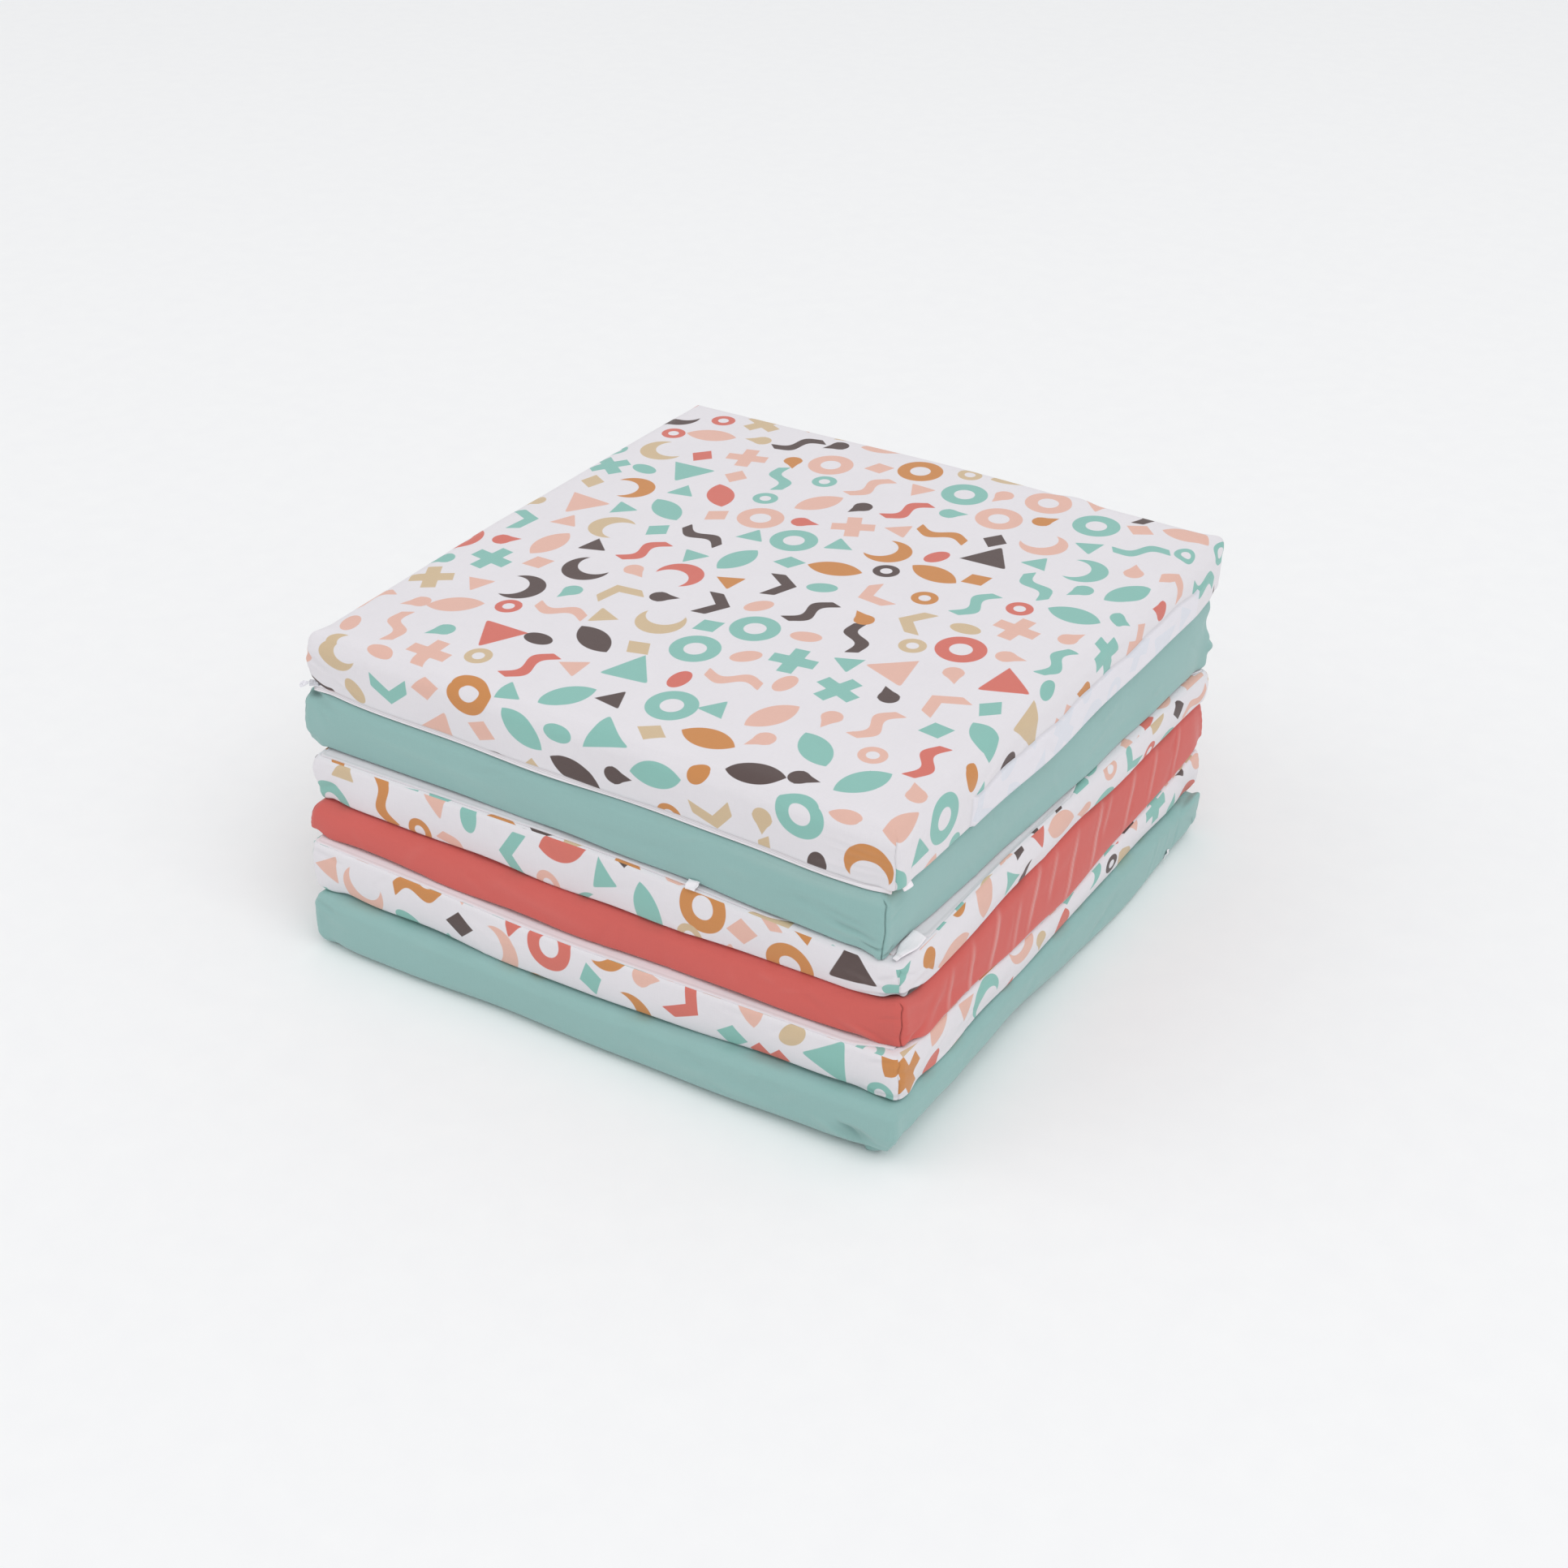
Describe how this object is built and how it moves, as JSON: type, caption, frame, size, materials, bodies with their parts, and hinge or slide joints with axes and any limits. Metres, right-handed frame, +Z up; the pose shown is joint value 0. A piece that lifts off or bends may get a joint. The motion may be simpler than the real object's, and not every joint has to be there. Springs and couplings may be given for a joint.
{
  "type": "baby play mat",
  "caption": "Square soft play mat for a baby, put away as a neat pile: foam panels in printed, teal and coral cotton covers with off-white backing cloth.",
  "frame": {"origin": "on the surface that the pile stands on, below the middle of the pile", "axes": "+Z up, the front face looks along -Y, the right face along +X"},
  "size_m": [0.6466, 0.6629, 0.3015],
  "materials": {
    "print": "plain-weave cotton, white ground with small printed shapes",
    "teal": "plain-weave cotton, dusty teal",
    "coral": "plain-weave cotton, coral",
    "backing": "plain off-white lining cloth",
    "tape": "ribbed white zip tape",
    "zip": "white painted zinc"
  },
  "bodies": {
    "root": {"panel_1": "print", "panel_2": "teal", "panel_3": "print", "panel_4": "coral", "panel_5": "print", "panel_6": "teal", "backing_1": "backing", "backing_3": "backing", "backing_5": "backing", "zip_tape": "tape", "zip_slider": "zip", "zip_pull": "zip", "tab_corner": "tape", "tab_side": "tape", "tab_front": "tape", "tab_foot": "tape"}
  },
  "joints": []
}
